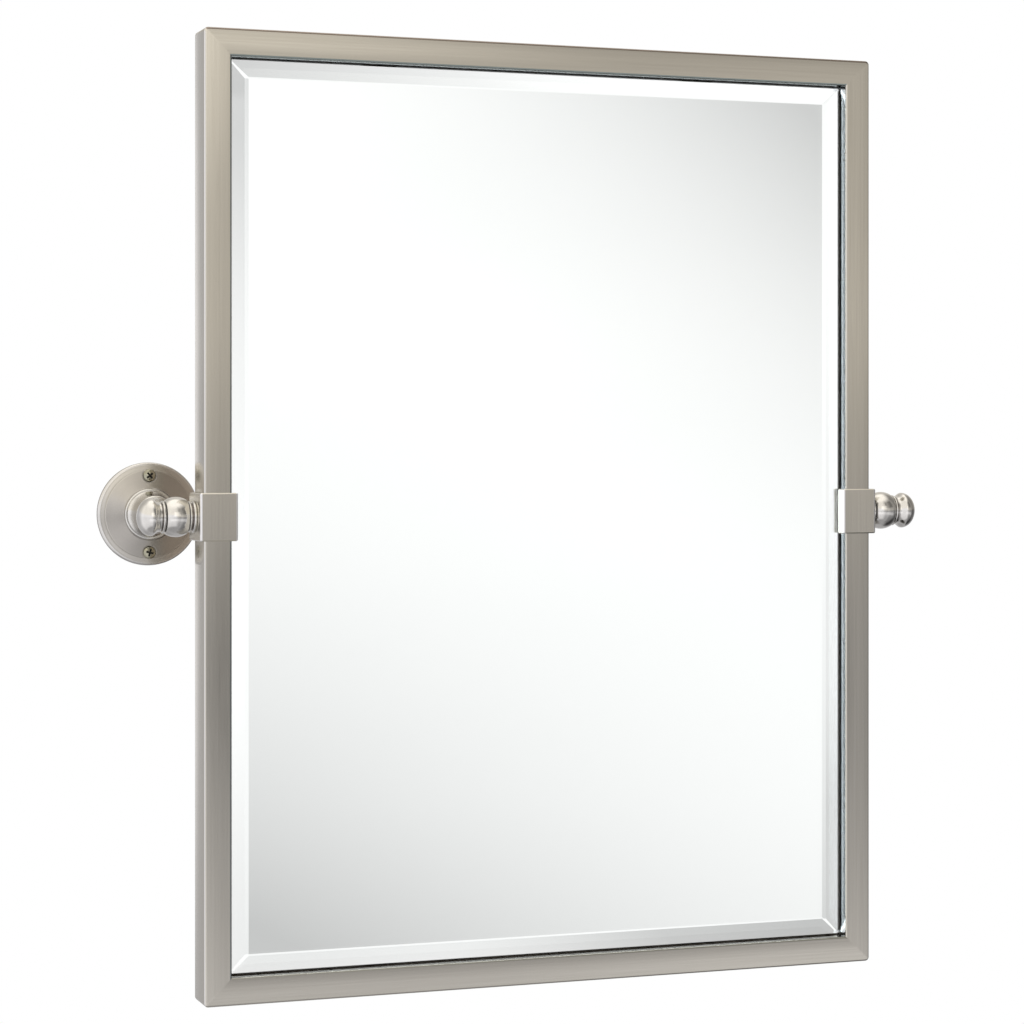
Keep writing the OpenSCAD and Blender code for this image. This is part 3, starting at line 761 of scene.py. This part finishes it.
def washers(side, name):
    """Two flat rings with softly rounded rims."""
    bore, r, soft = stud_r + bolt_gap, washer_high[2], 0.25 * MM
    profile = join(
        [bore, 0], [r - soft, 0], arc(r - soft, soft, soft, -90, 0, 4),
        arc(r - soft, washer_t - soft, soft, 0, 90, 4), [bore, washer_t], [bore, 0],
    )
    places = (washer_low[0], washer_high[0] - washer_t)
    mesh = shell(name, [turned(profile, on_axis(side, x), side * X, 72) for x in places])
    return piece(name + "_moulded", mesh, [NYLON], "mirror", "nylon", name)


def finial(side, name):
    """Base bead, groove, drawn-in neck, flared rim and an egg-shaped end, with the stud's blind hole."""
    bead = 0.7 * MM
    base_r = finial_neck_r + 0.3 * MM
    groove_end = 2.3 * MM
    neck_at = 3 * MM
    hole = stud_r + thread_gap
    profile = join(
        [0, finial_bore], [hole, finial_bore], [hole, 0], [base_r, 0],
        arc(base_r, bead, bead, -90, 90, 14),
        [finial_groove_r, 2 * bead], [finial_groove_r, groove_end], [finial_neck_r, groove_end],
        flare(finial_neck_r, neck_at, finial_r, finial_rim_at),
        dome(finial_rim_at, finial_r, finial_len - finial_rim_at),
    )
    # The groove gets painted shade in the finish
    finish = polished_nickel(name + "_nickel", groove_of(profile, finial_groove_r))
    mesh = shell(name, [turned(profile, on_axis(side, finial_low[0]), side * X, 128)])
    return piece(name + "_turned", mesh, [finish], "mirror", "polished_nickel", name)


def groove_of(profile, *radii):
    """The stretch of an outline's length between its first and last points at each radius."""
    length = running_length(profile)
    found = [length[np.isclose(profile[:, 0], r)] for r in radii]
    return [(there.min(), there.max()) for there in found]


def knuckle(side, name):
    """The ball: a sphere between two flat ends, with the pivot bore through it."""
    bore = stud_r + bore_gap
    edge = math.degrees(math.acos(ball_half / ball_r))
    sphere = arc(0, 0, ball_r, edge - 90, 90 - edge, 64)
    soft = 0.35 * MM
    first, last = sphere[0], sphere[-1]
    profile = join(
        [bore, -ball_half], [first[0] - soft, -ball_half], sphere[1:-1],
        [last[0] - soft, ball_half], [bore, ball_half], [bore, -ball_half],
    )
    mesh = shell(name, [turned(profile, on_axis(side, ball_x), side * X, 128)])
    return piece(name + "_turned", mesh, [POLISHED], "wall_brackets", "polished_nickel", name)


def post(side, name):
    """Rounded foot, bell, bead and drawn-in stem. The stem ends where it meets the ball: on the circle of
    its own radius, at a height of wall to axis less the square root of ball radius squared less stem
    radius squared, and the end is hollowed to the ball from there to the axis."""
    foot_top = seat_h + foot_t
    bell_top = foot_top + bell_h
    bead = 1.3 * MM
    bead_top = bell_top + 2 * bead
    stem_top = -axis_y - math.sqrt(ball_r**2 - stem_top_r**2)
    cup_r = np.linspace(stem_top_r, 0, 13)[1:]
    cup = np.column_stack([cup_r, -axis_y - np.sqrt(ball_r**2 - cup_r**2)])
    profile = join(
        [0, post_hole_end], [post_hole_r, post_hole_end], [post_hole_r, seat_h],
        arc(foot_r - foot_t / 2, seat_h + foot_t / 2, foot_t / 2, -90, 90, 14),
        bell(foot_r - foot_t, foot_top, waist_r, bell_top),
        arc(post_bead_r - bead, bell_top + bead, bead, -90, 90, 20),
        drawn_in(stem_foot_r, bead_top, stem_top_r, stem_top, stem_waist), cup,
    )
    mesh = shell(name, [turned(profile, side * ball_x * X, -Y, 128)])
    return piece(name + "_turned", mesh, [POLISHED], "wall_brackets", "polished_nickel", name)


def pivot_stud(side, name):
    """A threaded rod from the weld nut out into the finial."""
    length = stud_high[0] - stud_low[0]
    rod = threaded(on_axis(side, stud_low[0]), side * X, length, stud_r, stud_thread, stud_pitch, 0.1)
    return piece(name + "_threaded", shell(name, [rod]), [ZINC], "mirror", "zinc_steel", name)


# ---- screws -----------------------------------------------------------------------------------------


def cross_radius(angle, arm, half_width):
    """Distance from the centre of a cross to its outline: the arm's end or its side, which is nearer."""
    folded = np.abs(np.mod(angle + math.pi / 4, math.pi / 2) - math.pi / 4)
    return np.minimum(arm / np.cos(folded), half_width / np.maximum(np.sin(folded), 1e-6))


def pan_head(seat, out, across, r, h, shank_r):
    """A pan head with a cross recess: rings that start as a small cross on the floor of the recess, widen
    to the recess's outline, then ease into circles on the dome, whose height is 0.4 h + 0.6 h times the
    square root of 1 - (radius / r) squared."""
    up = np.cross(out, across)
    arm, half_width, depth = 0.60 * r, 0.15 * r, 0.62 * h
    corner = math.atan(half_width / arm)
    eighth = np.array([0, 0.5 * corner, corner, 0.5 * corner + math.pi / 8])
    fold = np.concatenate([eighth, [math.pi / 4], math.pi / 2 - eighth[:0:-1]])
    angle = np.concatenate([fold + k * math.pi / 2 for k in range(4)] + [[2 * math.pi]])
    recess = cross_radius(angle, arm, half_width)
    floor = cross_radius(angle, 0.45 * arm, 0.62 * half_width)
    share = np.linspace(0, 1, 10)[:, None]
    top = recess * (1 - share) + r * share
    crown = 0.4 * h + 0.6 * h * np.sqrt(np.clip(1 - (top / r) ** 2, 0, 1))
    floor_h = np.full_like(floor, h - depth)
    none = np.zeros_like(floor)
    radii = np.vstack([none, floor, top, none + r, none + shank_r, none])
    heights = np.vstack([none + h - depth * 1.06, floor_h, crown, none, none, none])
    ring = np.cos(angle)[:, None] * across + np.sin(angle)[:, None] * up
    points = seat + heights[..., None] * out + radii[..., None] * ring[None]
    return [patch(points[:3], face_slot=1), patch(points[2:])]


def wall_screws(side, name):
    """Two pan head wood screws: plain shank through the flange, coarse thread and point in the wall."""
    patches = []
    for end in (-1, 1):
        seat = side * ball_x * X - spot_h * Y + end * screw_spacing / 2 * Z
        turn = math.radians(28 * end + 12)
        across = math.cos(turn) * X + math.sin(turn) * Z
        patches += pan_head(seat, -Y, across, screw_head_r, screw_head_h, screw_shank_r)
        shank = join([0, 0], [screw_shank_r, 0], [screw_shank_r, spot_h], [0, spot_h])
        patches.append(turned(shank, seat, Y, 32))
        patches.append(threaded(seat + spot_h * Y, Y, screw_len - spot_h, screw_thread_r, wood_thread,
                                wood_pitch, 0.55, screw_point))
    return piece(name + "_cut", shell(name, patches), [SCREW, RECESS], "wall_brackets", "zinc_steel", name)


def at_tabs():
    """Each tab's own directions: middle on the tube's inner wall, along the tube and in over the board."""
    open_w, open_h = half_w - tube_face, half_h - tube_face
    for side in (-1, 1):
        for end in (-1, 1):
            yield side * open_w * X + end * tab_spacing_v / 2 * Z, Z, -side * X
            yield side * open_h * Z + end * tab_spacing_h / 2 * X, X, -side * Z


def small_screws():
    """The self-tapping screws that hold the tabs to the tubes, and the wood screws that hold the board."""
    tab_screw_y = (tab_screw_low[1] + tab_screw_high[1]) / 2
    board_seat_y = board_screw_high[1] - small_head_h
    board_reach = board_screw_high[1] - small_head_h - board_screw_low[1]
    board_in = half_w - tube_face - board_screw_high[0] + small_head_r
    into_tube, into_board = [], []
    for count, (place, along, inward) in enumerate(at_tabs()):
        across = math.cos(count) * along + math.sin(count) * Y
        seat = place + tab_screw_y * Y + tab_t * inward
        into_tube += pan_head(seat, inward, across, small_head_r, small_head_h, small_screw_r)
        into_tube.append(threaded(seat, -inward, tab_screw_len, small_screw_r, small_thread, tab_pitch, 0.4))
        across = math.cos(2 * count) * along + math.sin(2 * count) * inward
        seat = place + board_seat_y * Y + board_in * inward
        into_board += pan_head(seat, Y, across, small_head_r, small_head_h, small_screw_r)
        into_board.append(threaded(seat, -Y, board_reach, small_screw_r, small_thread, board_pitch, 0.4))
    for name, patches in (("tab_screws", into_tube), ("board_screws", into_board)):
        piece(name + "_cut", shell(name, patches), [ZINC, RECESS], "mirror", "zinc_steel", name)


small_screws()
for hand, hand_name in ((-1, "left"), (1, "right")):
    clip(hand)
    collar(hand, hand_name + "_collar")
    washers(hand, hand_name + "_washers")
    finial(hand, hand_name + "_finial")
    knuckle(hand, hand_name + "_knuckle")
    post(hand, hand_name + "_post")
    pivot_stud(hand, hand_name + "_pivot_stud")
    wall_screws(hand, hand_name + "_wall_screws")

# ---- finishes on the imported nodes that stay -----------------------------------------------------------

KEPT = {
    "silver_coat": SILVER,
    "mounting_tape": FOAM,
    "backing_board": BOARD,
    "board_tabs": ZINC,
    "left_pivot_nut": ZINC,
    "right_pivot_nut": ZINC,
    "left_post_screw": ZINC,
    "right_post_screw": ZINC,
    "left_flange": satin_nickel("satin_nickel_left", -ball_x),
    "right_flange": satin_nickel("satin_nickel_right", ball_x),
}
for node_name, kept_finish in KEPT.items():
    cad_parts[node_name].material_slots[0].material = kept_finish

# ---- studio -----------------------------------------------------------------------------------------


def floor():
    """A plain pale disc well below the mirror: one ring of points drawn in to its middle. Neither metal
    nor glass sees it, or its rim would cross a tilted mirror."""
    radius, height, steps = 3.0, -1.2, 96
    angle = np.linspace(0, 2 * math.pi, steps + 1)
    ring = np.stack([np.cos(angle), np.sin(angle), np.zeros_like(angle)], -1)
    points = np.linspace(0, radius, 6)[:, None, None] * ring[None] + height * Z
    mesh = shell("floor", [patch(points)])
    made = bpy.data.objects.new("floor", mesh)
    bpy.context.scene.collection.objects.link(made)
    material, tree, shader = new_finish("pale_floor", Roughness=0.7, Specular_IOR_Level=0.2)
    place = place_in(tree)
    cloud = cloudy(tree, place, 3, 3.0)
    tree.links.new(blend(tree, cloud, (0.62, 0.62, 0.61), (0.68, 0.68, 0.67)), shader.inputs["Base Color"])
    mesh.materials.append(material)
    made.visible_glossy = False
    made.visible_transmission = False


def studio():
    """Light all round, as a function of direction: azimuth is measured from the viewer's side, positive
    to the right, and elevation from the horizon, both in degrees. The metal stands in a grey room with a
    tall soft box at its left. The glass shows a white wall instead, which shades off along two diagonals,
    the camera sees plain white behind the mirror, and matt parts get more light. The ranges are chosen
    for the photograph's view, so they are a made-up studio and no real room."""
    world = bpy.data.worlds.new("studio")
    bpy.context.scene.world = world
    world.use_nodes = True
    tree = world.node_tree
    way = node(tree, "ShaderNodeTexCoord").outputs["Generated"]
    parts = node(tree, "ShaderNodeSeparateXYZ", {0: way}).outputs
    degree = 180 / math.pi
    azimuth = times(tree, sum_of(tree, parts[0], times(tree, parts[1], -1.0), "ARCTAN2"), degree)
    elevation = times(tree, sum_of(tree, parts[2], 0.0, "ARCSINE"), degree)

    def patch_of(az, el, soft_az=20, soft_el=12):
        """A soft-edged rectangle of directions."""
        return times(tree, band(tree, azimuth, *az, soft_az), band(tree, elevation, *el, soft_el))

    # Room: strength and range of azimuth, range of elevation, softness of each
    room = between(tree, elevation, 0.50, 0.63, 0.4, 2.4)
    for strength, shape in (
        (0.46, patch_of((-104, -14), (-46, 52), 28, 16)),
        (0.42, patch_of((-14, 14), (7.2, 26), 8, 2.6)),
        (0.14, patch_of((-30, 60), (1.6, 3.0), 20, 1.4)),
        (-0.26, patch_of((-20, 19), (-5.3, -3.8), 8, 2.0)),
        (-0.08, patch_of((25, 40), (-6.3, -3.4), 6, 1.6)),
        (0.24, patch_of((-30, 60), (-22, -11.2), 20, 2.0)),
        (-0.22, patch_of((46, 118), (-60, 60), 22, 20)),
        (-0.16, patch_of((88, 124), (-60, 60), 24, 20)),
        (-0.26, patch_of((12, 60), (18, 44), 8, 8)),
        (-0.10, patch_of((-178, -142), (4, 40), 8, 5)),
        (-0.06, patch_of((-178, -142), (-60, 60), 8, 5)),
        (-0.09, patch_of((-30, 17), (4.0, 5.4), 6, 1.2)),
        (0.05, patch_of((25, 60), (-60, 60), 6, 8)),
        (-0.09, patch_of((19.5, 22.8), (6.4, 9), 2.0, 1.5)),
        (0.08, patch_of((24, 60), (-22, -9.6), 6, 2.0)),
        (0.50, between(tree, parts[1], 0.0, 1.0, 0.975, 0.992)),
        (0.75, between(tree, elevation, 0.0, 1.0, 48, 70)),
        (-0.10, between(tree, elevation, 1.0, 0.0, -44, -24)),
        (0.10, between(tree, parts[1], 0.0, 1.0, 0.0, 0.4)),
    ):
        room = sum_of(tree, room, times(tree, shape, strength))
    room = sum_of(tree, room, 0.04, "MAXIMUM")
    rays = node(tree, "ShaderNodeLightPath").outputs
    room = sum_of(tree, room, times(tree, rays["Is Diffuse Ray"], 1.3))
    raised = sum_of(tree, elevation, between(tree, azimuth, 13, 0, -14, 5), "SUBTRACT")
    tint = blend(tree, between(tree, raised, 0, 1, -3.5, 1.5), (1.0, 0.985, 1.0), (1.0, 0.95, 0.875))
    room_light = node(tree, "ShaderNodeBackground", {"Color": tint, "Strength": room})

    def shade(across, az, el, offset, power, most):
        """How far a direction lies past a diagonal, raised to a power, and no more than most."""
        along = sum_of(tree, times(tree, across, az), times(tree, elevation, el))
        past = sum_of(tree, sum_of(tree, along, offset, "SUBTRACT"), 0.0, "MAXIMUM")
        return sum_of(tree, sum_of(tree, past, power, "POWER"), most, "MINIMUM")

    upper = shade(sum_of(tree, azimuth, 25.0, "MINIMUM"), 0.0515, 0.0512, 0.881, 2.74, 0.40)
    lower = shade(sum_of(tree, azimuth, 9.0, "MAXIMUM"), -0.0271, -0.0541, -0.5837, 2.46, 0.45)
    lower = times(tree, lower, between(tree, azimuth, 0, 1, -14, 4))
    wall = times(tree, sum_of(tree, sum_of(tree, 1.0, upper, "SUBTRACT"), lower, "SUBTRACT"), WALL_GAIN)
    # Beyond the field's own directions, where in the photograph's view only the bevels and the tube's
    # inner wall look
    leftward = between(tree, azimuth, 1, 0, -42, -12)
    window = patch_of((-68, -48), (-16, 16), 6, 5)
    rightward = between(tree, azimuth, 0, 1, 26.6, 28.6)
    below = between(tree, sum_of(tree, elevation, times(tree, azimuth, 0.03)), 1, 0, -9.8, -9.5)
    above = between(tree, sum_of(tree, elevation, times(tree, azimuth, 0.03)), 0, 1, 7.65, 7.95)
    for strength, shape in (
        (-1.0, times(tree, leftward, between(tree, elevation, 0.42, 0.16, -45, 15))),
        (3.4, window),
        (1.0, times(tree, below, between(tree, azimuth, 0.0, 0.46, 9.5, 20.5))),
        (-0.17, times(tree, above, band(tree, azimuth, 8, 13.5, 5))),
        (-0.08, times(tree, above, between(tree, azimuth, 0, 1, 21.5, 25.5))),
        (1.0, times(tree, rightward, between(tree, elevation, -0.13, 0.08, -9.5, -4))),
        (0.09, patch_of((0, 9), (-7.8, -5.2), 2, 3)),
    ):
        wall = sum_of(tree, wall, times(tree, shape, strength))
    cool = blend(tree, window, (1, 1, 1), (0.89, 0.96, 1.0))
    wall_light = node(tree, "ShaderNodeBackground", {"Color": cool, "Strength": wall})
    white = node(tree, "ShaderNodeBackground", {"Color": (1, 1, 1, 1), "Strength": 1.0})
    lit = node(tree, "ShaderNodeMixShader", {
        0: rays["Is Transmission Ray"], 1: room_light.outputs[0], 2: wall_light.outputs[0],
    })
    mix = node(tree, "ShaderNodeMixShader", {
        0: rays["Is Camera Ray"], 1: lit.outputs[0], 2: white.outputs[0],
    })
    tree.links.new(mix.outputs[0], tree.nodes["World Output"].inputs["Surface"])


def overhead():
    """One big soft lamp above and in front, for the matt parts and the floor."""
    lamp = bpy.data.lights.new("overhead", "AREA")
    lamp.shape = "RECTANGLE"
    lamp.size, lamp.size_y = 2.4, 1.8
    lamp.energy = 25
    made = bpy.data.objects.new("overhead", lamp)
    made.location = (0.4, -0.9, 2.4)
    made.rotation_euler = (math.radians(-20), 0, 0)
    made.visible_glossy = False
    bpy.context.scene.collection.objects.link(made)


def camera():
    """The photograph's view: level, from about 2 m away and 0.6 m to the left. Its place was found by
    fitting points of the frame and the brackets to the picture, at a given focal length."""
    stands_at = (-0.62779, -1.87509, 0.04672)
    turned_by = 21.14
    lens_mm = 101.95
    framing = (-0.1217, -0.0683)
    lens = bpy.data.cameras.new("camera")
    lens.lens = lens_mm
    lens.sensor_width = 36
    lens.shift_x, lens.shift_y = framing
    lens.clip_start, lens.clip_end = 0.05, 50
    made = bpy.data.objects.new("camera", lens)
    made.location = stands_at
    made.rotation_euler = (math.radians(90), 0, -math.radians(turned_by))
    bpy.context.scene.collection.objects.link(made)
    bpy.context.scene.camera = made


floor()
studio()
overhead()
camera()
bpy.context.scene.view_settings.view_transform = "Standard"
